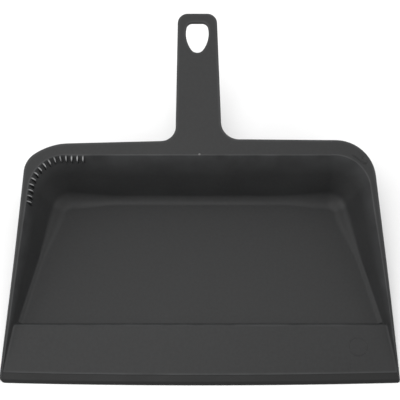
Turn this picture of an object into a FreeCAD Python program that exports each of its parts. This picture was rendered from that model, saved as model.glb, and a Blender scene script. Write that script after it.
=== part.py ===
import FreeCAD, Part
import math
import os

import Sketcher

# One-piece moulded dust pan: a drafted well with a flat floor, a raised ramp and a bevelled lip
# in front, a flat rim that widens into a back flange, a handle in the rim's plane with an
# egg-shaped hanging hole, and a comb for brush bristles round the left back corner.
# Every solid is laid out from the front edge (Y = 0, ground at Z = 0, X = 0 on the centre
# line) and then moved back by half the overall length, so the origin ends up at the bottom
# centre of the bounding box. Sub-parts meet face to face.

SIZES = (
    # alias, millimetres or degrees
    ("overall", 300.1),
    ("pan_depth", 190.4),
    ("rim_front_width", 305.0),
    ("rim_side_angle", 3.6),
    ("rim_corner", 31.0),
    ("front_bow", 2.0),
    ("rim_tilt", 14.4),
    ("rim_front_height", 1.1),
    ("rim_plate", 2.4),
    ("well_front_width", 301.2),
    ("well_side_angle", 10.5),
    ("well_depth", 160.4),
    ("well_corner", 13.0),
    ("draft", 20.0),
    ("wall", 2.5),
    ("floor_plate", 2.4),
    ("floor_fillet", 8.5),
    ("floor_edge_inset", 6.2),
    ("ramp_depth", 47.3),
    ("ramp_height", 7.8),
    ("ramp_plate", 2.2),
    ("riser_lean", 1.5),
    ("lip_depth", 6.9),
    ("lip_height", 2.8),
    ("lip_edge", 0.8),
    ("ramp_rib", 1.8),
    ("ramp_rib_pitch", 43.0),
    ("ramp_rib_start", 12.0),
    ("handle_angle", 1.3),
    ("handle_top_corner", 7.0),
    ("handle_root_fillet", 15.0),
    ("handle_plate", 3.0),
    ("root_width", 67.8),
    ("root_start", 182.0),
    ("hole_width", 19.2),
    ("hole_top", 291.9),
    ("hole_widest", 282.6),
    ("hole_side_bulge", 26.0),
    ("hole_top_corner", 5.0),
    ("hole_bottom_corner", 6.0),
    ("skirt_wall", 2.2),
    ("skirt_depth", 6.0),
    ("skirt_start", 166.0),
    ("gusset_depth", 24.0),
    ("gusset_spread", 14.5),
    ("gusset_heel", 12.0),
    ("gusset_reach", 30.0),
    ("rib_stop", 24.0),
    ("tooth_count", 15),
    ("tooth_pitch", 4.6),
    ("tooth_length", 4.0),
    ("tooth_width", 1.3),
    ("tooth_height", 7.0),
    ("teeth_on_back", 3),
    ("comb_middle", 25.0),
    ("corner_split", 98.0),
    ("side_split", 135.0),
    ("tall", 96.0),
    ("reach", 400.0),
    ("overrun", 20.0),
    ("clearance", 5.0),
)

doc = FreeCAD.newDocument("dust_pan")
sheet = doc.addObject("Spreadsheet::Sheet", "sizes")
for row, (alias, value) in enumerate(SIZES, start=1):
    sheet.set("A%d" % row, alias)
    sheet.set("B%d" % row, str(value))
    sheet.setAlias("B%d" % row, alias)
doc.recompute()
size = dict(SIZES)
nodes = []


def bind(thing, **expressions):
    """Bind properties to the sheet; a double underscore stands for a dot."""
    for name, text in expressions.items():
        thing.setExpression(name.replace("__", "."), text)


def rim_at(y):
    """Height of the rim's top plane at distance y from the front edge."""
    return "(sizes.rim_front_height + (%s) * tan(sizes.rim_tilt))" % y


# ---- sketches ---------------------------------------------------------------------------

def new_sketch(name, role, height=None):
    body = doc.addObject("PartDesign::Body", name)
    sketch = body.newObject("Sketcher::SketchObject", name + "_sketch")
    plane = next(f for f in body.Origin.OriginFeatures if f.Role == role)
    sketch.AttachmentSupport = [(plane, "")]
    sketch.MapMode = "FlatFace"
    if height:
        bind(sketch, AttachmentOffset__Base__z=height)
    return body, sketch


def fix(sketch, kind, where, start, text):
    """Add a dimension at a rough starting value and drive it from the sheet."""
    index = sketch.addConstraint(Sketcher.Constraint(kind, *where, start))
    sketch.setExpression("Constraints[%d]" % index, text)


def arc(x, y, radius, begin, end):
    circle = Part.Circle(FreeCAD.Vector(x, y, 0), FreeCAD.Vector(0, 0, 1), radius)
    return Part.ArcOfCircle(circle, math.radians(begin), math.radians(end))


def line(x1, y1, x2, y2):
    return Part.LineSegment(FreeCAD.Vector(x1, y1, 0), FreeCAD.Vector(x2, y2, 0))


def join(sketch, kind, pairs):
    """Join the end of one edge to the start of the next, as corner or tangent."""
    for first, second in pairs:
        sketch.addConstraint(Sketcher.Constraint(kind, first, 2, second, 1))


def polygon(name, points):
    """Closed outline in the side plane (along Y, up Z) with every corner driven."""
    body, sketch = new_sketch(name, "YZ_Plane")
    count = len(points)
    rough = [(50 + 40 * math.cos(2 * math.pi * k / count),
              50 + 40 * math.sin(2 * math.pi * k / count)) for k in range(count)]
    for k in range(count):
        sketch.addGeometry(line(*rough[k], *rough[(k + 1) % count]), False)
    join(sketch, "Coincident", [(k, (k + 1) % count) for k in range(count)])
    for k, (across, up) in enumerate(points):
        fix(sketch, "DistanceX", (-1, 1, k, 1), rough[k][0], across)
        fix(sketch, "DistanceY", (-1, 1, k, 1), rough[k][1], up)
    return body, sketch


def pan_outline(name, front_width, front_y, back_y, angle, corner, height=None, bowed=False):
    """Plan outline: front edge, two tapering sides, straight back, round back corners."""
    body, sketch = new_sketch(name, "XY_Plane", height)
    if bowed:
        front = Part.ArcOfCircle(Part.Circle(FreeCAD.Vector(0, 2000, 0),
                                             FreeCAD.Vector(0, 0, 1), 2000),
                                 math.radians(265.7), math.radians(274.3))
    else:
        front = line(-150, -5, 150, -5)
    sketch.addGeometry([front, line(150, -5, 140, 150), arc(120, 150, 20, 5, 90),
                        line(120, 170, -120, 170), arc(-120, 150, 20, 90, 175),
                        line(-140, 150, -150, -5)], False)
    join(sketch, "Coincident", [(0, 1), (5, 0)])
    join(sketch, "Tangent", [(1, 2), (2, 3), (3, 4), (4, 5)])
    sketch.addConstraint(Sketcher.Constraint("Horizontal", 3))
    sketch.addConstraint(Sketcher.Constraint("Symmetric", 0, 1, 0, 2, -2))
    fix(sketch, "DistanceX", (0, 1, 0, 2), 300, front_width)
    fix(sketch, "DistanceY", (-1, 1, 0, 1), 5 if bowed else -5, front_y)
    fix(sketch, "DistanceY", (-1, 1, 3, 1), 170, back_y)
    fix(sketch, "Radius", (2,), 20, corner)
    fix(sketch, "Radius", (4,), 20, corner)
    fix(sketch, "Angle", (1,), math.radians(95), "90 + " + angle)
    fix(sketch, "Angle", (5,), math.radians(-95), "-90 - " + angle)
    if bowed:
        sketch.addConstraint(Sketcher.Constraint("PointOnObject", -1, 1, 0))
    return body, sketch


def handle_outline(name, inset):
    """Handle in plan: a root block on the flange, concave root fillets, a slim taper, round end."""
    body, sketch = new_sketch(name, "XY_Plane")
    sketch.addGeometry([line(-37, 181, 37, 181), line(37, 181, 37, 189),
                        arc(37, 206, 17, 180, 270), line(20, 206, 17, 291),
                        arc(9, 291, 8, 0, 90), line(9, 299, -9, 299),
                        arc(-9, 291, 8, 90, 180), line(-17, 291, -20, 206),
                        arc(-37, 206, 17, 270, 360), line(-37, 189, -37, 181)], False)
    join(sketch, "Coincident", [(0, 1), (9, 0)])
    join(sketch, "Tangent", [(3, 4), (4, 5), (5, 6), (6, 7)])
    for here, there in (((1, 2), (2, 2)), ((2, 1), (3, 1)), ((7, 2), (8, 2)), ((8, 1), (9, 1))):
        sketch.addConstraint(Sketcher.Constraint("Coincident", *here, *there))
    for edge, kind in ((0, "Horizontal"), (1, "Vertical"), (5, "Horizontal"), (9, "Vertical")):
        sketch.addConstraint(Sketcher.Constraint(kind, edge))
    for side, fillet in ((3, 2), (7, 8)):
        sketch.addConstraint(Sketcher.Constraint("Tangent", side, fillet))
    sketch.addConstraint(Sketcher.Constraint("Symmetric", 1, 2, 9, 1, -2))
    inner = " - " + inset
    fix(sketch, "DistanceY", (-1, 1, 0, 1), 181, "sizes.root_start - 2 * (%s)" % inset)
    fix(sketch, "DistanceY", (-1, 1, 1, 2), 189, "sizes.pan_depth" + inner)
    fix(sketch, "DistanceY", (-1, 1, 5, 1), 299, "sizes.overall" + inner)
    for side, corner, fillet in ((3, 4, 2), (7, 6, 8)):
        fix(sketch, "Radius", (corner,), 8, "sizes.handle_top_corner" + inner)
        fix(sketch, "Radius", (fillet,), 17, "sizes.handle_root_fillet + " + inset)
    fix(sketch, "Angle", (3,), math.radians(92), "90 + sizes.handle_angle")
    fix(sketch, "Angle", (7,), math.radians(-92), "-90 - sizes.handle_angle")
    # the fillet's centre stands square over the point where it leaves the flange's edge
    for fillet, edge in ((2, (1, 2)), (8, (9, 1))):
        sketch.addConstraint(Sketcher.Constraint("Vertical", fillet, 3, *edge))
    fix(sketch, "DistanceX", (9, 1, 1, 2), 74, "sizes.root_width")
    return body, sketch


def hole_outline(name):
    """Hanging hole: flat top, bulging sides and a narrow round bottom, like an egg."""
    body, sketch = new_sketch(name, "XY_Plane")
    sketch.addGeometry([arc(0, 271, 6.5, 220, 320), arc(-10.5, 279.5, 20, -35, 20),
                        arc(3.5, 286, 5.5, 20, 90), line(3.5, 291.5, -3.5, 291.5),
                        arc(-3.5, 286, 5.5, 90, 160), arc(10.5, 279.5, 20, 160, 215)], False)
    join(sketch, "Tangent", [(k, (k + 1) % 6) for k in range(6)])
    sketch.addConstraint(Sketcher.Constraint("Symmetric", 1, 3, 5, 3, -2))
    sketch.addConstraint(Sketcher.Constraint("Horizontal", 3))
    for side, corner in ((1, 2), (5, 4)):
        fix(sketch, "Radius", (side,), 20, "sizes.hole_side_bulge")
        fix(sketch, "Radius", (corner,), 5.5, "sizes.hole_top_corner")
    fix(sketch, "DistanceX", (1, 3, 5, 3), 21, "2 * sizes.hole_side_bulge - sizes.hole_width")
    fix(sketch, "DistanceY", (-1, 1, 1, 3), 279.5, "sizes.hole_widest")
    fix(sketch, "DistanceY", (-1, 1, 3, 1), 291.5, "sizes.hole_top")
    fix(sketch, "Radius", (0,), 6.5, "sizes.hole_bottom_corner")
    return body, sketch


# ---- solids from the sketches -----------------------------------------------------------

def rise(made, draft=None):
    """Pad a plan outline straight up, or outward by the mould's draft."""
    body, sketch = made
    pad = body.newObject("PartDesign::Pad", body.Name + "_pad")
    pad.Profile = sketch
    bind(pad, Length="sizes.tall")
    if draft:
        bind(pad, TaperAngle=draft)
    return body


def span(made):
    """Pad a side outline to both sides of the centre line, past the whole width."""
    body, sketch = made
    pad = body.newObject("PartDesign::Pad", body.Name + "_pad")
    pad.Profile = sketch
    pad.SideType = "Symmetric"
    bind(pad, Length="sizes.reach")
    return body


def round_foot(body, radius, floor):
    """Fillet the bottom edge along the sides, corners and back."""
    doc.recompute()
    pad = body.Tip
    names = []
    for number, edge in enumerate(pad.Shape.Edges, start=1):
        box = edge.BoundBox
        if box.ZMax < floor + 0.01 and box.YMax > 0:
            names.append("Edge%d" % number)
    fillet = body.newObject("PartDesign::Fillet", body.Name + "_fillet")
    fillet.Base = (pad, names)
    bind(fillet, Radius=radius)
    return body


def block(name, x1, x2, y1, y2, z1="0", z2="sizes.tall"):
    box = doc.addObject("Part::Box", name)
    bind(box, Length="(%s) - (%s)" % (x2, x1), Width="(%s) - (%s)" % (y2, y1),
         Height="(%s) - (%s)" % (z2, z1), Placement__Base__x=x1, Placement__Base__y=y1,
         Placement__Base__z=z1)
    return box


def overlap(name, *solids):
    shared = doc.addObject("Part::MultiCommon", name)
    shared.Shapes = list(solids)
    return shared


def without(name, base, tool):
    rest = doc.addObject("Part::Cut", name)
    rest.Base = base
    rest.Tool = tool
    return rest


def group(name, solids):
    gathered = doc.addObject("Part::Compound", name)
    gathered.Links = list(solids)
    return gathered


def node(name, thing):
    """Name a finished sub-part and move it from the front edge to the part's own origin."""
    thing.Label = name
    bind(thing, Placement__Base__y="-sizes.overall / 2")
    nodes.append(thing)


def slanted(name, y1, y2, below_top, below_bottom):
    """Slice parallel to the rim's plane between two depths measured straight down."""
    return span(polygon(name, ((y1, rim_at(y1) + " - " + below_bottom),
                               (y2, rim_at(y2) + " - " + below_bottom),
                               (y2, rim_at(y2) + " - " + below_top),
                               (y1, rim_at(y1) + " - " + below_top))))


# ---- tooling shapes: the rim in plan, the hollow of the well, the outside of its walls -----

FULL = ("-sizes.reach / 2", "sizes.reach / 2")
LEFT = ("-sizes.reach / 2", "0")
RIGHT = ("0", "sizes.reach / 2")
FRONT_OVERRUN = "-sizes.overrun"

rim_plan = rise(pan_outline("rim_plan", "sizes.rim_front_width", "sizes.front_bow",
                            "sizes.pan_depth", "sizes.rim_side_angle", "sizes.rim_corner",
                            bowed=True))
rim_slice = slanted("rim_slice", FRONT_OVERRUN, "sizes.overall + sizes.clearance",
                    "0", "sizes.rim_plate")
under_rim = span(polygon("under_rim", (
    (FRONT_OVERRUN, "-sizes.overrun"),
    ("sizes.pan_depth", "-sizes.overrun"),
    ("sizes.pan_depth", rim_at("sizes.pan_depth") + " - sizes.rim_plate"),
    (FRONT_OVERRUN, rim_at(FRONT_OVERRUN) + " - sizes.rim_plate"))))


def well_outline(name, offset, height="0", spread=None):
    """Outline of the well at a height, moved outward by an offset."""
    grow = offset if height == "0" else "(%s + %s * tan(sizes.draft))" % (offset, height)
    width = ("sizes.well_front_width + 2 * sizes.overrun * tan(sizes.well_side_angle)"
             " + 2 * %s / cos(sizes.well_side_angle)" % grow)
    return pan_outline(name, width, FRONT_OVERRUN, "sizes.well_depth + " + grow,
                       "sizes.well_side_angle", "sizes.well_corner + " + grow,
                       height=None if height == "0" else height)


hollow = rise(well_outline("hollow", "0"), "sizes.draft")
outside = rise(well_outline("outside", "sizes.wall"), "sizes.draft")
cavity = round_foot(rise(well_outline("cavity", "0", "sizes.floor_plate"), "sizes.draft"),
                    "sizes.floor_fillet", size["floor_plate"])
round_outside = round_foot(rise(well_outline("round_outside", "sizes.wall"), "sizes.draft"),
                           "sizes.floor_fillet + sizes.floor_plate", 0)
floor_zone = rise(well_outline("floor_zone", "(0 - sizes.floor_edge_inset)"))
RAMP_BACK = "sizes.ramp_depth + sizes.riser_lean"

# ---- well: floor, back wall, two back corners, two side walls, two cheeks by the ramp -------

shell = without("shell", overlap("shell_blank", round_outside, under_rim), cavity)
walls = without("walls", shell, floor_zone)
cheeks = without("cheeks", overlap("cheek_blank", outside, under_rim, rim_plan), hollow)

node("pan_floor", overlap("floor_piece", shell, floor_zone,
                          block("behind_ramp", *FULL, RAMP_BACK, "sizes.pan_depth")))
node("back_wall", overlap("back_wall_piece", walls,
                          block("back_middle", "-sizes.corner_split", "sizes.corner_split",
                                "sizes.side_split", "sizes.pan_depth")))
for side, (x1, x2), (c1, c2) in (
        ("left", LEFT, (LEFT[0], "-sizes.corner_split")),
        ("right", RIGHT, ("sizes.corner_split", RIGHT[1]))):
    node(side + "_back_corner", overlap(side + "_corner_piece", walls,
         block(side + "_corner_box", c1, c2, "sizes.side_split", "sizes.pan_depth")))
    node(side + "_side_wall", overlap(side + "_wall_piece", walls,
         block(side + "_wall_box", x1, x2, RAMP_BACK, "sizes.side_split")))
    node(side + "_cheek", overlap(side + "_cheek_piece", cheeks,
         block(side + "_cheek_box", x1, x2, "-sizes.clearance", RAMP_BACK)))

# ---- rim: two narrow side strips, two corners and the wide back flange ---------------------

rim = without("rim", overlap("rim_blank", rim_plan, rim_slice), hollow)
root_box = block("root_box", "-sizes.root_width / 2", "sizes.root_width / 2",
                 "sizes.root_start", "sizes.pan_depth + sizes.clearance")
flange = overlap("flange", rim, block("flange_box", "-sizes.corner_split",
                                      "sizes.corner_split", "sizes.side_split",
                                      "sizes.pan_depth + sizes.clearance"))
node("back_flange", without("flange_piece", flange, root_box))
for side, (x1, x2), (c1, c2) in (
        ("left", LEFT, (LEFT[0], "-sizes.corner_split")),
        ("right", RIGHT, ("sizes.corner_split", RIGHT[1]))):
    node(side + "_side_rim", overlap(side + "_rim_piece", rim,
         block(side + "_rim_box", x1, x2, "-sizes.clearance", "sizes.side_split")))
    node(side + "_corner_rim", overlap(side + "_corner_rim_piece", rim,
         block(side + "_corner_rim_box", c1, c2, "sizes.side_split",
               "sizes.pan_depth + sizes.clearance")))

# ---- ramp and lip: a hollow wedge with a riser behind its crest and ribs beneath ------------

RAMP_SLOPE = ("(sizes.ramp_height - sizes.lip_height)"
              " / (sizes.ramp_depth - sizes.lip_depth)")
RISER_FRONT = RAMP_BACK + " - sizes.ramp_plate"


def under_ramp(y):
    return "((%s) - sizes.lip_depth) * %s" % (y, RAMP_SLOPE)


ramp_side = span(polygon("ramp_side", (
    ("sizes.lip_depth", "0"),
    ("sizes.lip_depth", "sizes.lip_height"),
    ("sizes.ramp_depth", "sizes.ramp_height"),
    (RAMP_BACK, "sizes.floor_plate"),
    (RAMP_BACK, "0"),
    (RISER_FRONT, "0"),
    (RISER_FRONT, under_ramp(RISER_FRONT)))))
lip_side = span(polygon("lip_side", (
    ("0", "0"),
    ("sizes.lip_depth", "0"),
    ("sizes.lip_depth", "sizes.lip_height"),
    ("0", "sizes.lip_edge"))))
node("front_ramp", overlap("ramp_piece", ramp_side, hollow))
node("front_lip", overlap("lip_piece", lip_side, hollow, rim_plan))

rib_side = span(polygon("rib_side", (
    ("sizes.ramp_rib_start", "0"),
    (RISER_FRONT, "0"),
    (RISER_FRONT, under_ramp(RISER_FRONT)),
    ("sizes.ramp_rib_start", under_ramp("sizes.ramp_rib_start")))))
rib_boxes = []
for place in range(-3, 4):
    middle = "%d * sizes.ramp_rib_pitch" % place
    rib_boxes.append(block("ramp_rib_%d" % (place + 4), middle + " - sizes.ramp_rib / 2",
                           middle + " + sizes.ramp_rib / 2", "0", RAMP_BACK))
node("ramp_ribs", overlap("ramp_rib_pieces", group("ramp_rib_boxes", rib_boxes), rib_side))

# ---- handle: flat plate in the rim's plane, hanging hole, edge skirt and ribs beneath --------

handle_slice = slanted("handle_slice", "sizes.root_start - sizes.overrun",
                       "sizes.overall + sizes.clearance", "0", "sizes.handle_plate")
handle_plan = rise(handle_outline("handle_plan", "0"))
hole = rise(hole_outline("hole"))
node("handle", without("handle_piece", overlap("handle_blank", handle_plan, handle_slice), hole))

# The skirt hangs from the outer edge of flange and handle, open towards the well.
skirt_slice = slanted("skirt_slice", "sizes.skirt_start", "sizes.overall + sizes.clearance",
                      "sizes.handle_plate", "(sizes.handle_plate + sizes.skirt_depth)")
rim_inside = rise(pan_outline(
    "rim_inside", "sizes.rim_front_width - 2 * sizes.skirt_wall", FRONT_OVERRUN,
    "sizes.pan_depth - sizes.skirt_wall", "sizes.rim_side_angle",
    "sizes.rim_corner - sizes.skirt_wall"))
handle_inside = rise(handle_outline("handle_inside", "sizes.skirt_wall"))
outer_edge = doc.addObject("Part::MultiFuse", "outer_edge")
outer_edge.Shapes = [rim_plan, handle_plan]
inner_edge = doc.addObject("Part::MultiFuse", "inner_edge")
inner_edge.Shapes = [rim_inside, handle_inside]
skirt = overlap("skirt", without("skirt_ring", outer_edge, inner_edge), skirt_slice)
node("edge_skirt", without("skirt_piece", skirt, round_outside))

# A centre rib and two gussets tie the handle to the back wall.
GUSSET_TOP = " - sizes.handle_plate"
GUSSET_FOOT = " - sizes.handle_plate - sizes.gusset_depth"
SHALLOW = " - sizes.handle_plate - sizes.skirt_depth"


def gusset(name, end):
    return span(polygon(name, (
        ("sizes.well_depth", rim_at("sizes.well_depth") + GUSSET_FOOT),
        ("sizes.pan_depth + sizes.gusset_heel", rim_at("sizes.pan_depth + sizes.gusset_heel") + SHALLOW),
        (end, rim_at(end) + SHALLOW),
        (end, rim_at(end) + GUSSET_TOP),
        ("sizes.well_depth", rim_at("sizes.well_depth") + GUSSET_TOP))))


def rib_block(name, middle):
    return block(name, middle + " - sizes.skirt_wall / 2", middle + " + sizes.skirt_wall / 2",
                 "sizes.well_depth", "sizes.overall")


long_rib = overlap("long_rib", gusset("long_side", "sizes.hole_widest - sizes.rib_stop"),
                   rib_block("long_box", "0"))
gussets = [overlap("gusset_%s" % side,
                   gusset("gusset_side_%s" % side, "sizes.pan_depth + sizes.gusset_reach"),
                   rib_block("gusset_box_%s" % side, sign + "sizes.gusset_spread"))
           for side, sign in (("left", "-"), ("right", ""))]
node("handle_ribs", without("rib_pieces", group("rib_group", [long_rib, *gussets]),
                            round_outside))

# ---- comb: thin teeth standing in from the rim's inner edge round the left back corner -------

comb_slice = slanted("comb_slice", "sizes.side_split - 2 * sizes.overrun", "sizes.pan_depth", "0",
                     "sizes.tooth_height")
draft_run = math.tan(math.radians(size["draft"]))
side_angle = math.radians(size["well_side_angle"])
rim_rise = math.tan(math.radians(size["rim_tilt"]))
corner_y = size["well_depth"] - size["well_corner"]
corner_x = (size["well_corner"] / math.cos(side_angle)
            - size["well_front_width"] / 2 + corner_y * math.tan(side_angle))
edge_height = size["rim_front_height"] + (corner_y + size["comb_middle"]) * rim_rise
edge_radius = size["well_corner"] + edge_height * draft_run


def tooth_place(run):
    """Middle of the wall's top edge and inward direction, run millimetres along the comb."""
    turn = min(max(run / (edge_radius - size["tooth_length"] / 2), 0), math.pi / 2 - side_angle)
    outward = FreeCAD.Vector(-math.sin(turn), math.cos(turn), 0)
    along = FreeCAD.Vector(-math.cos(turn), -math.sin(turn), 0)
    straight = run - turn * (edge_radius - size["tooth_length"] / 2)
    foot = FreeCAD.Vector(corner_x, corner_y, 0) + outward * edge_radius + along * straight
    return foot, turn


teeth = []
for number in range(size["tooth_count"]):
    foot, turn = tooth_place((number - size["teeth_on_back"]) * size["tooth_pitch"])
    tooth = doc.addObject("Part::Box", "tooth_%d" % (number + 1))
    bind(tooth, Length="sizes.tooth_width", Width="3 * sizes.tooth_length",
         Height="sizes.tall")
    turned = FreeCAD.Rotation(FreeCAD.Vector(0, 0, 1), math.degrees(turn))
    corner = FreeCAD.Vector(-size["tooth_width"] / 2, -size["tooth_length"], 0)
    tooth.Placement = FreeCAD.Placement(foot + turned.multVec(corner), turned)
    teeth.append(tooth)
node("comb_teeth", overlap("comb_pieces", group("tooth_boxes", teeth), hollow, comb_slice))

# ---- check every object, then write each sub-part -----------------------------------------

doc.recompute()
for thing in doc.Objects:
    if "Invalid" in thing.State or "Error" in thing.State:
        raise SystemExit("failed object: %s %s" % (thing.Name, thing.State))
for piece in nodes:
    shape = piece.Shape
    if shape.isNull() or not shape.isValid() or not shape.Solids or shape.Volume < 1:
        raise SystemExit("bad sub-part: " + piece.Label)
os.makedirs("parts", exist_ok=True)
for piece in nodes:
    piece.Shape.exportStep(os.path.join("parts", piece.Label + ".step"))
    print("%-18s %2d solids %9.0f mm3" % (piece.Label, len(piece.Shape.Solids),
                                          piece.Shape.Volume))
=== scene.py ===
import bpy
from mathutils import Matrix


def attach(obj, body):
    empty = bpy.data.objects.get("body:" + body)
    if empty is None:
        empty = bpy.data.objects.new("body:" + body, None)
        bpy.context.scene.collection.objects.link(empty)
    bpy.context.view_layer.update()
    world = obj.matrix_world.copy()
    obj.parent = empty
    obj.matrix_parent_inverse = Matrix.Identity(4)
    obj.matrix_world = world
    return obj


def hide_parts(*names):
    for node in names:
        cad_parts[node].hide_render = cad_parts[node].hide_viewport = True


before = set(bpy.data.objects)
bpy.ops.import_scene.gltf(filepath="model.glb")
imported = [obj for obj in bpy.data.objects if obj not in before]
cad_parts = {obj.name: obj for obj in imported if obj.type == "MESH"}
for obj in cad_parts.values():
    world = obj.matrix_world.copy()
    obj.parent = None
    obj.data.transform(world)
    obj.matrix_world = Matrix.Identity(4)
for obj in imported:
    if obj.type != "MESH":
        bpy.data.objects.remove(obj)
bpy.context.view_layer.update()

import math

import bmesh
import bpy
from mathutils import Vector
from mathutils.geometry import delaunay_2d_cdt

# ---- studio: a pale table top, one wide soft light overhead and a fill at either side ---------
# The pan lies flat on a pale matt table, under one broad diffuser hung a little to its left,
# with a softer fill from each side and pale walls all round. The camera looks down on it from
# the front edge's side, from about arm's length.

camera = bpy.data.objects.new("camera", bpy.data.cameras.new("camera"))
camera.data.lens = 84.7
camera.data.sensor_width = 36.0
camera.data.sensor_fit = "HORIZONTAL"
camera.location = (0.0004, -0.3854, 0.6892)
look_at = Vector((0.0004, 0.0125, 0.0))
camera.rotation_euler = (look_at - camera.location).to_track_quat("-Z", "Y").to_euler()
bpy.context.collection.objects.link(camera)
bpy.context.scene.camera = camera

for name, wide, deep, watts, place in (
        ("diffuser", 1.4, 0.65, 6.5, (-0.15, 0.08, 1.25)),
        ("side_fill", 1.2, 0.8, 9.0, (-1.3, -0.25, 0.6)),
        ("card_fill", 1.2, 0.8, 5.5, (1.3, -0.15, 0.6))):
    light = bpy.data.objects.new(name, bpy.data.lights.new(name, "AREA"))
    light.data.shape = "RECTANGLE"
    light.data.size = wide
    light.data.size_y = deep
    light.data.energy = watts
    light.location = place
    light.rotation_euler = (-light.location).to_track_quat("-Z", "Y").to_euler()
    bpy.context.collection.objects.link(light)

walls = bpy.data.worlds.new("pale_walls")
walls.use_nodes = True
walls.node_tree.nodes["Background"].inputs["Color"].default_value = (1.0, 1.0, 1.0, 1.0)
walls.node_tree.nodes["Background"].inputs["Strength"].default_value = 0.75
bpy.context.scene.world = walls
bpy.context.scene.view_settings.view_transform = "Standard"

table_mesh = bmesh.new()
bmesh.ops.create_grid(table_mesh, x_segments=1, y_segments=1, size=6.0)
table_data = bpy.data.meshes.new("table_top")
table_mesh.to_mesh(table_data)
table = bpy.data.objects.new("table_top", table_data)
table.location.z = -0.0002
bpy.context.collection.objects.link(table)
table_paint = bpy.data.materials.new("pale_table")
table_paint.use_nodes = True
matt = table_paint.node_tree.nodes["Principled BSDF"]
matt.inputs["Base Color"].default_value = (0.9, 0.9, 0.9, 1.0)
matt.inputs["Roughness"].default_value = 0.9
matt.inputs["Specular IOR Level"].default_value = 0.0
table_data.materials.append(table_paint)

# ---- pan moulding: floor, ramp, walls, rim, back flange and handle ---------------------------
# One injection moulding in charcoal polypropylene, about 2.5 mm thick, with a grained tool
# finish. It is drawn as one skin: its back wall leans out 20 degrees and its side walls 25, and
# its rim lies in one plane that climbs from the front edge straight on into the handle.

MM = 0.001
half_length = 150.05       # the front edge is this far in front of the middle

rim_front = 1.1            # height of the rim's plane above the table at the front edge
rim_rise = math.tan(math.radians(14.4))
plate = 2.6                # thickness of rim and handle, upright

back_lean = 20.0           # degrees that the back wall leans out, and the side walls
side_lean = 25.0
side_angle = math.radians(11.93)
foot_half_front = 150.44   # half the width where the wall planes meet the table, at the front
foot_back = 160.4
foot_corner = 13.0
wall_across = 2.66         # thickness of the walls, level
back_rim = 8.0             # no less than this much rim lies behind the well
floor_top = 2.4
front_bow = 2.0

edge_round = 0.9
inner_round = 0.8


def rounded(corners, radii, steps):
    """An open line through the corners, with every corner between its ends turned on a radius."""
    line = [Vector(corners[0])]
    for before, corner, after, radius in zip(corners, corners[1:], corners[2:], radii):
        corner = Vector(corner)
        back = (Vector(before) - corner).normalized()
        on = (Vector(after) - corner).normalized()
        half_open = math.acos(max(-1.0, min(1.0, back.dot(on)))) / 2
        middle = corner + (back + on).normalized() * radius / math.sin(half_open)
        first = corner + back * radius / math.tan(half_open) - middle
        last = corner + on * radius / math.tan(half_open) - middle
        start = math.atan2(first.y, first.x)
        turn = (math.atan2(last.y, last.x) - start + math.pi) % (2 * math.pi) - math.pi
        for step in range(steps + 1):
            angle = start + turn * step / steps
            line.append(middle + radius * Vector((math.cos(angle), math.sin(angle))))
    line.append(Vector(corners[-1]))
    return line


def cut_up(line, longest):
    """The same line with more points, so that no run is longer than this."""
    points = [line[0]]
    for start, end in zip(line, line[1:]):
        pieces = max(1, math.ceil((end - start).length / longest))
        points += [start.lerp(end, piece / pieces) for piece in range(1, pieces + 1)]
    return points


def sideways(line, closed=False):
    """The unit vector across the line at each point, to the left of the way it runs."""
    across = []
    for number, point in enumerate(line):
        before = line[number - 1] if closed or number else point
        after = line[(number + 1) % len(line)] if closed or number + 1 < len(line) else point
        run = (after - before).normalized()
        across.append(Vector((-run.y, run.x)))
    return across


def rim_height(y):
    return rim_front + rim_rise * y


def blend(start, end, value):
    """0 before start, 1 after end, and a smooth climb between them."""
    share = max(0.0, min(1.0, (value - start) / (end - start)))
    return share * share * (3 - 2 * share)


pan = bmesh.new()
# Per point, how much of the paler edge colour goes in: scuffing, and painted highlight.
wear_and_highlight = pan.verts.layers.float.new("wear_and_highlight")
# Per point, the lip strip, whose colour is darkened as painted shade.
lip_painted_shade = pan.verts.layers.float.new("lip_painted_shade")


def spot(x, y, z, wear_and_highlight_share=0.0, lip=0.0):
    """A point of the pan, in millimetres back from the front edge."""
    point = pan.verts.new((x * MM, (y - half_length) * MM, max(z, 0.0) * MM))
    point[wear_and_highlight] = wear_and_highlight_share
    point[lip_painted_shade] = lip
    return point


def skin(rows, closed=False):
    """Faces between neighbouring rows of points."""
    pairs = list(zip(rows, rows[1:])) + ([(rows[-1], rows[0])] if closed else [])
    for row, next_row in pairs:
        for number in range(len(row) - 1):
            corners = [row[number], row[number + 1], next_row[number + 1], next_row[number]]
            corners = [corner for place, corner in enumerate(corners)
                       if corner not in corners[:place]]
            if len(corners) > 2 and pan.faces.get(corners) is None:
                pan.faces.new(corners)


def ramp_height(y):
    return 2.95 + 4.85 * (y - 7.4) / 39.9


# The line of floor, ramp and lip along the middle: lip nose, ridge, crest, riser, floor.
floor_line = rounded(
    [(0.0, 0.0), (0.2, 0.6), (2.2, 1.75), (7.0, 2.6), (7.4, 2.95), (47.3, 7.8), (48.8, 2.4),
     (59.0, 2.4)],
    [0.2, 3.0, 0.15, 0.3, 3.0, 1.2], 4)
ridge = max(number for number, (y, z) in enumerate(floor_line) if y < 7.9)
ramp_between = [Vector((y, ramp_height(y))) for y in (9.0, 12, 16, 20, 25, 30, 36, 43.5)]
floor_line[ridge + 1:ridge + 1] = ramp_between
floor_line += [Vector((y, floor_top)) for y in (68, 80, 91, 101, 108, 115, 122, 129, 136, 142)]
floor_line.append(Vector((148.2, floor_top)))


def right_spread(y):
    """How much further out the right wall stands than the left one."""
    return 1.2 * (1 - blend(60, 150, y))


def side_rim(x, y):
    """Width of the rim beside the well."""
    return max(0.6, 1.5 + 0.0286 * y - (right_spread(y) - 0.003 * y if x > 0 else 0.0))


ramp_fillet = 0.7          # radii where the walls meet the ramp and the floor
side_fillet = 4.6
back_fillet = 8.0
corner_fillet = 13.0


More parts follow.
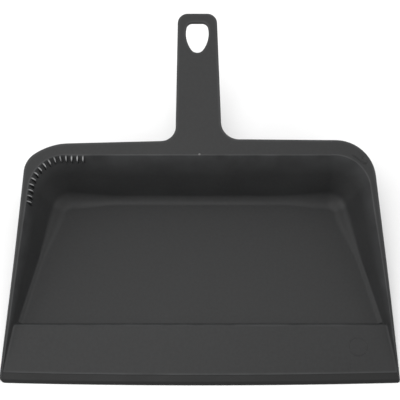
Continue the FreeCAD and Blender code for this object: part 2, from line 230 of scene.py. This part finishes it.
def fillet_at(y):
    """Radius between floor and side wall: tight by the ramp, wide at the back."""
    if y < 48.0:
        return ramp_fillet
    return side_fillet + (corner_fillet - side_fillet) * blend(98, 148, y)


# Each station round the well is (x, y, way out in x and y, height of the floor, fillet, lean).
left = []
for y, z in floor_line:
    radius = fillet_at(y)
    lean = math.tan(math.radians(side_lean))
    inward = lean * (z + radius) - radius * math.hypot(1, lean)
    foot_y = y + front_bow * (1 - blend(7, 34, y)) - math.sin(side_angle) * inward
    foot_x = foot_half_front - foot_y * math.tan(side_angle)
    left.append((-foot_x, foot_y, -math.cos(side_angle), math.sin(side_angle), z, radius,
                 side_lean))
corner_middle = Vector((-106.0, 147.4))    # the well's left back corner turns about this
for step in range(1, 17):
    angle = side_angle + (math.pi / 2 - side_angle) * step / 16
    out = Vector((-math.cos(angle), math.sin(angle)))
    foot = corner_middle + foot_corner * out
    left.append((foot.x, foot.y, out.x, out.y, floor_top,
                 corner_fillet + math.sin(math.pi * step / 17) ** 2,
                 side_lean + (back_lean - side_lean) * step / 16))
back = [(x, foot_back, 0.0, 1.0, floor_top,
         back_fillet + (corner_fillet - back_fillet) * blend(68, 106, abs(x)), back_lean)
        for x in [corner_middle.x * (1 - 2 * step / 24) for step in range(1, 24)]]
right = [(-x + right_spread(y), y, -out_x, out_y, z, radius, lean)
         for x, y, out_x, out_y, z, radius, lean in reversed(left)]

inner_rows, rim_inner, outer_rows, under_inner = [], [], [], []
for x, y, out_x, out_y, foot, radius, lean in left + back + right:
    lean = math.tan(math.radians(lean))
    top = max((rim_front + rim_rise * y) / (1 - rim_rise * out_y * lean), foot + 0.15)
    room = top - foot
    radius = min(radius, 0.8 * room)
    turn = min(inner_round, 0.35 * room)
    rim_width = side_rim(x, y) if out_y < 0.25 else back_rim
    turn = min(turn, 0.2 * rim_width)
    thick = min(wall_across, 0.9 * rim_width)

    def across(u, z, wear_and_highlight_share=0.0):
        return spot(x + out_x * u, y + out_y * u, z, wear_and_highlight_share)

    middle_u = lean * (foot + radius) - radius * math.hypot(1, lean)
    row = []
    for step in range(9):
        angle = math.radians(70.0) * step / 8
        row.append(across(middle_u + radius * math.sin(angle),
                          foot + radius * (1 - math.cos(angle))))
    brow = Vector((lean * top, top))
    wall_way = Vector((lean, 1.0)).normalized()
    rim_way = Vector((1.0, rim_rise * out_y)).normalized()
    arc = rounded([brow - 4 * wall_way, brow, brow + 4 * rim_way], [turn], 5)[1:-1]
    low = foot + radius * (1 - math.cos(math.radians(70.0)))
    row.append(across(lean * (low + arc[0].y) / 2, (low + arc[0].y) / 2))
    # The rim's inner rounding takes the paler edge colour in full: a painted highlight along the
    # edge, with some scuffing.
    row += [across(point.x, point.y, 1.0) for point in arc]
    flat = brow + rim_way * (0.6 * turn + min(0.8, 0.2 * rim_width))
    row.append(across(flat.x, flat.y))
    inner_rows.append(row)
    rim_inner.append(row[-1])

    under = ((rim_front - plate + rim_rise * (y + out_y * thick))
             / (1 - rim_rise * out_y * lean))
    under = max(under, 0.0)
    round_foot = min(1.2, 0.4 * under)
    row = [across(thick + lean * under, under),
           across(thick + lean * under * 0.5, under * 0.5)]
    if round_foot > 0.05:
        turned = rounded([(thick + lean * under, under), (thick, 0.0),
                          (0.0, 0.0)], [round_foot], 4)[1:-1]
    else:
        turned = [Vector((thick - 0.02 * step, 0.0)) for step in range(5)]
    row += [across(point.x, point.y) for point in turned]
    outer_rows.append(row)
    under_inner.append(row[0])
skin(inner_rows)
skin(outer_rows)

# Lip, ramp and floor go straight across between the two sides, bowed a little at the front.
side_count = len(floor_line)
columns = 16
shares = [-0.99] + [2 * column / columns - 1 for column in range(1, columns)] + [0.99]
floor_rows = []
for number, (y, z) in enumerate(floor_line):
    start, end = inner_rows[number][0], inner_rows[-1 - number][0]
    bow = front_bow * (1 - blend(7, 34, y))
    # The lip strip in front of the ridge is marked for painted shade.
    lip = 1.0 if y < 7.1 else 0.0
    # The ridge and crest lines and the ramp's ends at the walls take the paler edge colour as
    # painted highlight; the lip nose takes half of it as scuffing.
    wear_and_highlight_share = 1.0 if 7.1 < y < 7.8 or 45.5 < y < 47.9 else (0.5 if z < 0.8 else 0.0)
    for end_point in (start, end):
        end_point[lip_painted_shade] = lip
        end_point[wear_and_highlight] = max(wear_and_highlight_share, 0.9 if 7.1 < y < 48.0 else 0.0)
    row = [start]
    for share in shares:
        drop = bow * (1 - share * share)
        place = start.co.lerp(end.co, (share + 1) / 2) / MM
        row.append(spot(place.x, place.y + half_length - drop, z, wear_and_highlight_share, lip))
    row.append(end)
    floor_rows.append(row)
skin(floor_rows)
pan.faces.new(floor_rows[-1] + [row[0] for row in reversed(inner_rows[side_count:-side_count])])

# Underneath, the floor is flat and the ramp is hollow behind a solid lip.
under_line = [(0.0, 0.0), (8.2, 0.0), (9.0, 1.1), (44.9, 5.2), (45.6, 0.0), (61.0, 0.0)]


def hollow_at(y):
    for (y0, z0), (y1, z1) in zip(under_line, under_line[1:]):
        if y <= y1:
            return z0 + (z1 - z0) * (y - y0) / (y1 - y0)
    return 0.0


under_rows = []
cheek = 2.2
for number, (y, z) in enumerate(floor_line):
    start, end = outer_rows[number][-1], outer_rows[-1 - number][-1]
    depth = max(min(hollow_at(y), z - 1.2), 0.0)
    bow = front_bow * (1 - blend(7, 34, y))
    from_x, to_x = start.co.x / MM + cheek, end.co.x / MM - cheek
    line_y = start.co.y / MM + half_length
    row = [start]
    if number:
        row += [spot(from_x, line_y, 0.0), spot(from_x + 0.2, line_y, depth)]
        for share in shares:
            row.append(spot(from_x + 0.2 + (to_x - from_x - 0.4) * (share + 1) / 2,
                            line_y - bow * (1 - share * share), depth))
        row += [spot(to_x - 0.2, line_y, depth), spot(to_x, line_y, 0.0)]
    else:
        row += [floor_rows[0][0], floor_rows[0][0]] + floor_rows[0][1:-1]
        row += [floor_rows[0][-1], floor_rows[0][-1]]
    row.append(end)
    under_rows.append(row)
skin(under_rows)
pan.faces.new([row[-1] for row in outer_rows[side_count:-side_count]]
              + list(reversed(under_rows[-1])))

# Outer edge: rim, flange and handle in one outline, with a skirt turned down round the back.
handle_half_root = 18.9
handle_half_end = 16.5
handle_end = 300.1
root_offset = -0.75
end_offset = -1.85
rim_taper = math.tan(math.radians(3.6))
outline = rounded(
    [(-152.4, 2.0), (-145.65, 100.0), (-141.5, 174.2), (-121.0, 187.4),
     (root_offset - handle_half_root, 190.0), (end_offset - handle_half_end, handle_end),
     (end_offset + handle_half_end, handle_end), (root_offset + handle_half_root, 191.3),
     (152.3 - rim_taper * 190.4, 190.2), (148.35, 75.0), (152.4, 2.0)],
    [4000.0, 18.5, 50.0, 12.0, 8.5, 8.5, 14.5, 31.5, 4000.0], 12)
outline = cut_up(outline, 7.0)
rim_side_end = 155.0       # the narrow side rim ends here and the flange begins
skirt_across = 2.2
edge_flat = 1.6            # a flat strip inside the rounded edge keeps the rim's shading level
outer_edge, rim_outer, under_outer = [], [], []
for point, out in zip(outline, sideways(outline)):
    on_side = point.y < rim_side_end
    rim_width = side_rim(point.x, point.y)
    turn = min(edge_round, 0.25 * rim_width) if on_side else edge_round
    flat = min(edge_flat, 0.2 * rim_width) if on_side else edge_flat
    skirt = skirt_across
    if on_side:
        skirt = min(skirt_across, 0.4 * (0.65 + 0.0235 * point.y))
    bead = min(0.45, 0.3 * skirt)
    deep = plate + 0.5 + 5.4 * blend(132, 170, point.y)
    edge = rim_height(point.y)
    foot = max(edge - deep, 0.0)
    lines = [(turn + flat, edge, 0.0)]
    # The outer edge's rounding takes the paler edge colour: scuffing and painted highlight.
    for step in range(5):
        angle = math.pi / 2 * step / 4
        lines.append((turn * (1 - math.sin(angle)), edge - turn * (1 - math.cos(angle)), 1.0))
    lines += [(0.0, max(foot + bead, 0.5 * foot), 0.2), (0.3 * bead, foot + 0.3 * bead, 0.2),
              (bead, foot, 0.0), (skirt - bead, foot, 0.0),
              (skirt - 0.3 * bead, foot + 0.3 * bead, 0.0),
              (skirt, foot + bead, 0.0), (skirt, max(edge - plate, 0.0), 0.0)]
    row = []
    for inset, z, wear_and_highlight_share in lines:
        place = point - out * inset
        if 0 < wear_and_highlight_share or z == edge:
            z += rim_rise * (place.y - point.y)
        row.append(spot(place.x, place.y, min(z, rim_height(place.y)), wear_and_highlight_share))
    outer_edge.append(row)
    rim_outer.append(row[0])
    under_outer.append(row[-1])
skin(outer_edge)

# Hanging hole: egg-shaped, its small end towards the pan.
hole_middle = -1.9
hole_half = []
for centre, size, first, last in (          # arcs: middle, radius, first and last angle
        ((0.0, 271.2), 6.0, 270, 214.9), ((16.4, 282.6), 26.0, 214.9, 168.1),
        ((-4.13, 286.9), 5.0, 168.1, 90)):
    for step in range(8):
        angle = math.radians(first + (last - first) * step / 8)
        hole_half.append(Vector((centre[0] + size * math.cos(angle),
                                 centre[1] + size * math.sin(angle))))
hole_half.append(Vector((-4.13, 291.9)))
hole_line = hole_half + [Vector((-point.x, point.y)) for point in reversed(hole_half[1:])]
hole_line = [Vector((point.x + hole_middle, point.y)) for point in hole_line]
hole_rows = []
for point, out in zip(hole_line, sideways(hole_line, closed=True)):
    edge = rim_height(point.y)
    row = []
    for inset, down, wear_and_highlight_share in ((2.0, 0.0, 0.0), (0.6, 0.0, 1.0), (0.18, 0.18, 1.0), (0.0, 0.6, 1.0),
                              (0.0, plate - 0.3, 0.0), (0.3, plate, 0.0)):
        place = point + out * inset
        row.append(spot(place.x, place.y, edge - down + rim_rise * (place.y - point.y), wear_and_highlight_share))
    hole_rows.append(row)
skin(hole_rows, closed=True)

# A shallow crescent groove and a pinhole, left by the tool on the right back corner of the rim.
groove_line = cut_up(rounded([(122.4, 178.6), (128.4, 175.1), (134.5, 169.9), (136.1, 172.6)],
                             [20.0, 1.4], 5), 1.2)
groove_strips = []
for offset, depth in ((-0.9, 0.0), (-0.5, 0.35), (0.0, 0.75), (0.5, 0.35), (0.9, 0.0)):
    strip = []
    for number, (point, out) in enumerate(zip(groove_line, sideways(groove_line))):
        ends = min(1.0, number / 5, (len(groove_line) - 1 - number) / 3)
        place = point + out * offset * (0.25 + 0.75 * ends)
        strip.append(spot(place.x, place.y, rim_height(place.y) - depth * ends))
    groove_strips.append(strip)
pinhole_x, pinhole_y = 132.7, 175.6
pinhole = []
for size, depth in ((1.5, 0.0), (0.8, 0.45)):
    ring = [(pinhole_x + size * math.cos(step * math.pi / 5),
             pinhole_y + size * math.sin(step * math.pi / 5)) for step in range(10)]
    pinhole.append([spot(x, y, rim_height(y) - depth) for x, y in ring])


def fill_flat(outer, closed=(), open_lines=(), empty=None):
    """Triangles over a flat outline, through every line given, leaving the empty loop open."""
    points, joins = list(outer), []
    joins += [(number, (number + 1) % len(outer)) for number in range(len(outer))]
    for loop in closed:
        start = len(points)
        points += loop
        joins += [(start + number, start + (number + 1) % len(loop)) for number in range(len(loop))]
    for line in open_lines:
        start = len(points)
        points += line
        joins += [(start + number, start + number + 1) for number in range(len(line) - 1)]
    flat = [Vector((point.co.x / MM, point.co.y / MM)) for point in points]
    made, _, faces, sources, _, _ = delaunay_2d_cdt(flat, joins, [], 1, 1e-5)
    held = set(empty or ())
    for face in faces:
        corners = [points[sources[number][0]] for number in face if sources[number]]
        if len(set(corners)) == 3 and not all(corner in held for corner in corners):
            pan.faces.new(corners)


top_hole = [row[0] for row in hole_rows]
fill_flat(rim_inner + list(reversed(rim_outer)), closed=[top_hole] + pinhole,
          open_lines=groove_strips, empty=top_hole)
low_hole = [row[-1] for row in hole_rows]
fill_flat(under_inner + list(reversed(under_outer)), closed=[low_hole], empty=low_hole)

# The front ends of the rim are rounded off in plan, the left one more than the right.
front_half = 152.4
front_at = 2.0
pulled_to = 14.0           # points behind this stay where they are
for point in pan.verts:
    x, y = point.co.x / MM, point.co.y / MM + half_length
    size = 4.8 if x < 0 else 1.8
    over = abs(x) - (front_half - size)
    if over > 0 and y < pulled_to:
        pulled = front_at + size - math.sqrt(max(size * size - over * over, 0.0))
        share = (y - front_at) / (pulled_to - front_at)
        point.co.y = (pulled + share * (pulled_to - pulled) - half_length) * MM
bmesh.ops.remove_doubles(pan, verts=pan.verts, dist=2e-6)
bmesh.ops.dissolve_degenerate(pan, edges=pan.edges, dist=2e-6)
bmesh.ops.holes_fill(pan, edges=[edge for edge in pan.edges if edge.is_boundary], sides=0)
bmesh.ops.recalc_face_normals(pan, faces=pan.faces)
for face in pan.faces:
    face.smooth = True
pan_data = bpy.data.meshes.new("pan_moulding")
pan.to_mesh(pan_data)
pan_moulding = bpy.data.objects.new("pan_moulding", pan_data)
bpy.context.collection.objects.link(pan_moulding)
settle = pan_moulding.modifiers.new("flat faces stay flat", "WEIGHTED_NORMAL")
settle.keep_sharp = False
settle.weight = 90


def effect(name, inputs, outputs):
    """A new shader node group with its named sockets, and its input and output nodes."""
    group = bpy.data.node_groups.new(name, "ShaderNodeTree")
    for label, kind, value in inputs:
        socket = group.interface.new_socket(label, in_out="INPUT", socket_type=kind)
        socket.default_value = value
    for label, kind in outputs:
        group.interface.new_socket(label, in_out="OUTPUT", socket_type=kind)
    return group, group.nodes.new("NodeGroupInput"), group.nodes.new("NodeGroupOutput")


# Tool grain: the fine etched texture of the mould, with the slow drift of colour and gloss that
# flow and cooling leave in the plastic.
grain, given, put = effect(
    "tool_grain",
    [("Grain Size", "NodeSocketFloat", 1500.0), ("Drift Size", "NodeSocketFloat", 22.0)],
    [("Height", "NodeSocketFloat"), ("Speckle", "NodeSocketFloat"), ("Drift", "NodeSocketFloat")])
where = grain.nodes.new("ShaderNodeTexCoord")
fine = grain.nodes.new("ShaderNodeTexNoise")
fine.inputs["Detail"].default_value = 3.0
fine.inputs["Roughness"].default_value = 0.6
drift = grain.nodes.new("ShaderNodeTexNoise")
drift.inputs["Detail"].default_value = 3.0
drift.inputs["Roughness"].default_value = 0.55
speckle = grain.nodes.new("ShaderNodeTexNoise")
speckle.inputs["Detail"].default_value = 2.0
coarser = grain.nodes.new("ShaderNodeMath")
coarser.operation = "MULTIPLY"
coarser.inputs[1].default_value = 0.3
for texture in (fine, drift, speckle):
    grain.links.new(where.outputs["Object"], texture.inputs["Vector"])
grain.links.new(given.outputs["Grain Size"], fine.inputs["Scale"])
grain.links.new(given.outputs["Grain Size"], coarser.inputs[0])
grain.links.new(coarser.outputs[0], speckle.inputs["Scale"])
grain.links.new(given.outputs["Drift Size"], drift.inputs["Scale"])
grain.links.new(fine.outputs["Fac"], put.inputs["Height"])
grain.links.new(speckle.outputs["Fac"], put.inputs["Speckle"])
grain.links.new(drift.outputs["Fac"], put.inputs["Drift"])

# Rubbing and painted highlight: a patchy mask that turns the marked edges paler, partly where
# hands, brush and box have scuffed the corners and partly as painted highlight on edges that catch
# the light.
wear_and_highlight_group, given, put = effect(
    "wear_and_highlight_edge",
    [("Marked", "NodeSocketFloat", 0.0), ("Patchiness", "NodeSocketFloat", 60.0)],
    [("Mask", "NodeSocketFloat")])
where = wear_and_highlight_group.nodes.new("ShaderNodeTexCoord")
patches = wear_and_highlight_group.nodes.new("ShaderNodeTexNoise")
patches.inputs["Detail"].default_value = 4.0
lift = wear_and_highlight_group.nodes.new("ShaderNodeMapRange")
lift.inputs["From Min"].default_value = 0.3
lift.inputs["From Max"].default_value = 0.65
lift.inputs["To Min"].default_value = 0.35
lift.inputs["To Max"].default_value = 1.0
times = wear_and_highlight_group.nodes.new("ShaderNodeMath")
times.operation = "MULTIPLY"
wear_and_highlight_group.links.new(where.outputs["Object"], patches.inputs["Vector"])
wear_and_highlight_group.links.new(given.outputs["Patchiness"], patches.inputs["Scale"])
wear_and_highlight_group.links.new(patches.outputs["Fac"], lift.inputs["Value"])
wear_and_highlight_group.links.new(lift.outputs["Result"], times.inputs[0])
wear_and_highlight_group.links.new(given.outputs["Marked"], times.inputs[1])
wear_and_highlight_group.links.new(times.outputs[0], put.inputs["Mask"])


def charcoal(name, dark, light, wear_and_highlight_colour, gloss, bump, wear_and_highlight_name=None, lip_shade_name=None):
    """Grained charcoal polypropylene, with its own tones, gloss and depth of grain."""
    plastic = bpy.data.materials.new(name)
    plastic.use_nodes = True
    tree = plastic.node_tree
    shader = tree.nodes["Principled BSDF"]
    shader.inputs["IOR"].default_value = 1.49
    shader.inputs["Specular IOR Level"].default_value = 0.33
    texture = tree.nodes.new("ShaderNodeGroup")
    texture.node_tree = grain
    edges = tree.nodes.new("ShaderNodeGroup")
    edges.node_tree = wear_and_highlight_group
    if wear_and_highlight_name:
        marked = tree.nodes.new("ShaderNodeAttribute")
        marked.attribute_name = wear_and_highlight_name
        tree.links.new(marked.outputs["Fac"], edges.inputs["Marked"])
    tone = tree.nodes.new("ShaderNodeMapRange")
    tone.inputs["From Min"].default_value = 0.35
    tone.inputs["From Max"].default_value = 0.65
    tree.links.new(texture.outputs["Drift"], tone.inputs["Value"])
    shade = tree.nodes.new("ShaderNodeMix")
    shade.data_type = "RGBA"
    shade.inputs[6].default_value = (*dark, 1.0)
    shade.inputs[7].default_value = (*light, 1.0)
    tree.links.new(tone.outputs["Result"], shade.inputs[0])
    fleck = tree.nodes.new("ShaderNodeMapRange")
    fleck.inputs["From Min"].default_value = 0.3
    fleck.inputs["From Max"].default_value = 0.7
    fleck.inputs["To Min"].default_value = 0.9
    fleck.inputs["To Max"].default_value = 1.1
    tree.links.new(texture.outputs["Speckle"], fleck.inputs["Value"])
    flecked = tree.nodes.new("ShaderNodeMix")
    flecked.data_type = "RGBA"
    flecked.blend_type = "MULTIPLY"
    flecked.inputs[0].default_value = 1.0
    tree.links.new(shade.outputs[2], flecked.inputs[6])
    tree.links.new(fleck.outputs["Result"], flecked.inputs[7])
    # Marked edges are mixed towards the paler edge colour: scuffing and painted highlight.
    wear_and_highlight_mix = tree.nodes.new("ShaderNodeMix")
    wear_and_highlight_mix.data_type = "RGBA"
    wear_and_highlight_mix.inputs[7].default_value = (*wear_and_highlight_colour, 1.0)
    tree.links.new(edges.outputs["Mask"], wear_and_highlight_mix.inputs[0])
    tree.links.new(flecked.outputs[2], wear_and_highlight_mix.inputs[6])
    colour = wear_and_highlight_mix.outputs[2]
    polish = tree.nodes.new("ShaderNodeMapRange")
    polish.inputs["From Min"].default_value = 0.3
    polish.inputs["From Max"].default_value = 0.7
    polish.inputs["To Min"].default_value = gloss - 0.04
    polish.inputs["To Max"].default_value = gloss + 0.04
    tree.links.new(texture.outputs["Drift"], polish.inputs["Value"])
    roughness = polish.outputs["Result"]
    # The lip strip's colour is taken down to 40 per cent of the dark tone: painted shade.
    if lip_shade_name:
        lip = tree.nodes.new("ShaderNodeAttribute")
        lip.attribute_name = lip_shade_name
        lip_shade_mix = tree.nodes.new("ShaderNodeMix")
        lip_shade_mix.data_type = "RGBA"
        lip_shade_mix.inputs[7].default_value = (0.4 * dark[0], 0.4 * dark[1], 0.4 * dark[2], 1.0)
        tree.links.new(lip.outputs["Fac"], lip_shade_mix.inputs[0])
        tree.links.new(colour, lip_shade_mix.inputs[6])
        colour = lip_shade_mix.outputs[2]
    tree.links.new(colour, shader.inputs["Base Color"])
    tree.links.new(roughness, shader.inputs["Roughness"])
    relief = tree.nodes.new("ShaderNodeBump")
    relief.inputs["Strength"].default_value = 0.35
    relief.inputs["Distance"].default_value = bump
    tree.links.new(texture.outputs["Height"], relief.inputs["Height"])
    tree.links.new(relief.outputs["Normal"], shader.inputs["Normal"])
    return plastic


# Its edge colour, nearly three times the body's, is scuffing and painted highlight on the rim
# edges, ridge, crest and ramp ends.
pan_data.materials.append(charcoal(
    "charcoal_moulding", dark=(0.0129, 0.0132, 0.0135), light=(0.0160, 0.0163, 0.0166),
    wear_and_highlight_colour=(0.036, 0.037, 0.038), gloss=0.5, bump=0.0002, wear_and_highlight_name="wear_and_highlight",
    lip_shade_name="lip_painted_shade"))
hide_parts("pan_floor", "front_lip", "front_ramp", "back_wall", "back_flange",
            "handle", "edge_skirt", "left_back_corner", "right_back_corner", "left_cheek",
            "right_cheek", "left_corner_rim", "right_corner_rim", "left_side_rim",
            "right_side_rim", "left_side_wall", "right_side_wall")
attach(pan_moulding, "root")

# ---- comb: fifteen fins round the left back corner --------------------------------------------
# Fluff is combed off a brush on these. They are moulded in one with the wall, reach about 4 mm
# in from the rim's inner edge, and taper to the tip. Their backs are painted pale towards the
# tip: painted highlight, with some scuffing.

comb = bmesh.new()
wear_and_glint = comb.verts.layers.float.new("wear_and_highlight")
fin_count = 15
fin_pitch = 4.6
fins_on_back = 2.5         # this many pitches lie on the straight back wall
fin_reach = 3.9
fin_deep = 7.0
bend = 29.0                # radius of the line through the fins in the corner
for number in range(fin_count):
    run = (number - fins_on_back) * fin_pitch
    turn = min(max(run / bend, 0.0), math.pi / 2 - side_angle)
    out = Vector((-math.sin(turn), math.cos(turn)))
    along = Vector((-math.cos(turn), -math.sin(turn)))
    foot_line = corner_middle + out * foot_corner + along * (run - turn * bend)
    lean = back_lean + (side_lean - back_lean) * turn / (math.pi / 2 - side_angle)
    lean = math.tan(math.radians(lean))
    top = rim_height(foot_line.y) / (1 - rim_rise * out.y * lean)
    root = foot_line + out * lean * top
    top = rim_height(root.y)
    sections = []
    # Each section is (distance in from the rim's edge, height below the rim, half width).
    for inward, down, wide in ((-1.2, 0.1, 0.9), (0.6, 0.1, 0.8), (2.0, 0.35, 0.7),
                               (3.1, 0.9, 0.6), (fin_reach, 1.9, 0.45)):
        centre = root - out * inward
        # The root stays within the thickness of the leaning wall.
        deep = min(fin_deep, (inward + 2.2) / lean) - (0.8 if inward > 3.5 else 0.0)
        level = top - down
        foot = top - deep
        ring = []
        for side, height in ((-1, foot), (-1, level - 0.45), (-0.62, level - 0.12), (0, level),
                             (0.62, level - 0.12), (1, level - 0.45), (1, foot)):
            place = centre + along * side * wide
            corner = comb.verts.new((place.x * MM, (place.y - half_length) * MM, height * MM))
            # The fin backs grow paler towards the tip: painted highlight, with some scuffing.
            corner[wear_and_glint] = blend(-0.5, 2.2, inward) if height > level - 0.3 else 0.0
            ring.append(corner)
        sections.append(ring)
    for ring, next_ring in zip(sections, sections[1:]):
        for place in range(7):
            comb.faces.new([ring[place], ring[(place + 1) % 7],
                            next_ring[(place + 1) % 7], next_ring[place]])
    comb.faces.new(sections[0])
    comb.faces.new(list(reversed(sections[-1])))
bmesh.ops.recalc_face_normals(comb, faces=comb.faces)
for face in comb.faces:
    face.smooth = True
comb_data = bpy.data.meshes.new("comb_fins")
comb.to_mesh(comb_data)
comb_fins = bpy.data.objects.new("comb_fins", comb_data)
bpy.context.collection.objects.link(comb_fins)
soften = comb_fins.modifiers.new("moulded corners", "BEVEL")
soften.width = 0.15 * MM
soften.segments = 2
soften.limit_method = "ANGLE"
comb_fins.modifiers.new("flat faces stay flat", "WEIGHTED_NORMAL")
# The comb's edge colour is a pale grey: a painted glint on the fin backs, with some scuffing.
comb_data.materials.append(charcoal(
    "charcoal_comb", dark=(0.0125, 0.0128, 0.0131), light=(0.0160, 0.0163, 0.0166),
    wear_and_highlight_colour=(0.26, 0.262, 0.265), gloss=0.36, bump=0.0001, wear_and_highlight_name="wear_and_highlight"))
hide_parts("comb_teeth")
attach(comb_fins, "root")

# ---- ribs: stiffeners under the handle and under the ramp -------------------------------------
# Thin webs moulded in one with the pan. One long rib and two gussets carry the handle's load
# into the back wall, and seven short ribs hold up the ramp.


def web(name, outline, centre, thick):
    """An upright plate, from its side outline in millimetres (y, z)."""
    mesh = bmesh.new()
    faces = []
    for side in (-1, 1):
        ring = [mesh.verts.new(((centre + side * thick / 2) * MM, (y - half_length) * MM, z * MM))
                for y, z in outline]
        faces.append(ring)
    mesh.faces.new(faces[0])
    mesh.faces.new(list(reversed(faces[1])))
    for number in range(len(outline)):
        after = (number + 1) % len(outline)
        mesh.faces.new([faces[0][number], faces[1][number], faces[1][after], faces[0][after]])
    bmesh.ops.recalc_face_normals(mesh, faces=mesh.faces)
    bmesh.ops.bevel(mesh, geom=list(mesh.edges), offset=0.3 * MM, segments=2, affect="EDGES",
                    clamp_overlap=True)
    data = bpy.data.meshes.new(name)
    mesh.to_mesh(data)
    piece = bpy.data.objects.new(name, data)
    bpy.context.collection.objects.link(piece)
    for face in data.polygons:
        face.use_smooth = True
    piece.modifiers.new("flat faces stay flat", "WEIGHTED_NORMAL")
    data.materials.append(charcoal_under)
    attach(piece, "root")
    return piece


charcoal_under = charcoal(
    "charcoal_underside", dark=(0.0128, 0.0131, 0.0134), light=(0.0158, 0.0161, 0.0164),
    wear_and_highlight_colour=(0.034, 0.035, 0.036), gloss=0.46, bump=0.00015)
gusset_spread = 14.5
rib_thick = 2.2
heel_at = 202.0            # the gussets' lower edge turns up along the handle here
rib_foot = rim_height(foot_back) - 25.0
rib_top = rim_height(foot_back) - 0.5
wall_slope = math.tan(math.radians(back_lean))
wall_back = foot_back + wall_across - 1.0
for place, end, name in ((0.0, 258.0, "handle_rib"), (-gusset_spread, 220.0, "left_gusset"),
                         (gusset_spread, 220.0, "right_gusset")):
    shape = [(wall_back + wall_slope * rib_foot, rib_foot), (heel_at, rim_height(heel_at) - 8.3),
             (end, rim_height(end) - 5.5), (end, rim_height(end) - plate + 0.3),
             (wall_back + wall_slope * rib_top, rib_top)]
    piece = web(name, shape, place, rib_thick)
    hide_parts("handle_ribs")
ramp_rib_shape = [(12.5, 0.15), (45.9, 0.15), (45.9, 5.9), (12.5, 2.0)]
ramp_rib_pitch = 43.0
ramp_rib_thick = 1.8
for number in range(-3, 4):
    piece = web("ramp_rib_%d" % (number + 4), ramp_rib_shape, number * ramp_rib_pitch,
                ramp_rib_thick)
    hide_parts("ramp_ribs")

# ---- moulding marks: gate nub, ejector ring and scratch ---------------------------------------
# The plastic entered at the middle of the back, where a small nub stands, coloured pale grey. A
# faint ring from a round pin shows on the right of the ramp, with a short scratch in front of it.

gate_at = 178.3
gate_level = rim_height(gate_at) - 0.05
nub_height = 0.45
nub = bmesh.new()
nub_rings = []
for level in range(1, 12):
    tilt = math.pi * level / 12
    nub_rings.append([nub.verts.new((
        math.sin(tilt) * math.cos(math.pi * step / 10) * MM,
        (math.sin(tilt) * math.sin(math.pi * step / 10) + gate_at - half_length) * MM,
        (nub_height * math.cos(tilt) + gate_level) * MM)) for step in range(20)])
for ring, next_ring in zip(nub_rings, nub_rings[1:]):
    for step in range(20):
        after = (step + 1) % 20
        nub.faces.new([ring[step], next_ring[step], next_ring[after], ring[after]])
for ring, side in ((nub_rings[0], 1), (nub_rings[-1], -1)):
    pole = nub.verts.new((0.0, (gate_at - half_length) * MM,
                          (side * nub_height + gate_level) * MM))
    for step in range(20):
        nub.faces.new([pole, ring[step], ring[(step + 1) % 20]])
bmesh.ops.recalc_face_normals(nub, faces=nub.faces)
for face in nub.faces:
    face.smooth = True
nub_data = bpy.data.meshes.new("gate_nub")
nub.to_mesh(nub_data)
gate_nub = bpy.data.objects.new("gate_nub", nub_data)
bpy.context.collection.objects.link(gate_nub)
nub_data.materials.append(charcoal(
    "charcoal_pale_nub", dark=(0.10, 0.10, 0.10), light=(0.16, 0.16, 0.16),
    wear_and_highlight_colour=(0.2, 0.2, 0.2), gloss=0.45, bump=0.0001))
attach(gate_nub, "root")


def bead_along(name, points, half_wide, proud):
    """A low bead on the ramp, a flattened tube along a line of (x, y)."""
    mesh = bmesh.new()
    rings = []
    closed = (points[0] - points[-1]).length < 1e-6
    points = points[:-1] if closed else points
    for number, (point, out) in enumerate(zip(points, sideways(points, closed))):
        fade = 1.0 if closed else math.sin(math.pi * (number + 0.5) / len(points)) ** 0.5
        ring = []
        for step in range(8):
            angle = 2 * math.pi * step / 8
            place = point + out * half_wide * fade * math.cos(angle)
            z = ramp_height(place.y) + proud * fade * math.sin(angle)
            ring.append(mesh.verts.new((place.x * MM, (place.y - half_length) * MM, z * MM)))
        rings.append(ring)
    last = len(rings) if closed else len(rings) - 1
    for number in range(last):
        ring, after = rings[number], rings[(number + 1) % len(rings)]
        for step in range(8):
            mesh.faces.new([ring[step], ring[(step + 1) % 8], after[(step + 1) % 8], after[step]])
    if not closed:
        mesh.faces.new(rings[0])
        mesh.faces.new(list(reversed(rings[-1])))
    bmesh.ops.recalc_face_normals(mesh, faces=mesh.faces)
    for face in mesh.faces:
        face.smooth = True
    data = bpy.data.meshes.new(name)
    mesh.to_mesh(data)
    piece = bpy.data.objects.new(name, data)
    bpy.context.collection.objects.link(piece)
    data.materials.append(charcoal_under)
    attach(piece, "root")


pin_x, pin_y, pin_radius = 122.0, 29.1, 7.0
ring_line = [Vector((pin_x + pin_radius * math.cos(step * math.pi / 24),
                     pin_y + pin_radius * math.sin(step * math.pi / 24))) for step in range(49)]
bead_along("ejector_ring", ring_line, 0.45, 0.07)
bead_along("ramp_scratch", cut_up([Vector((115.2, 17.0)), Vector((114.6, 13.0)),
                                   Vector((113.9, 9.5))], 1.0), 0.35, 0.06)
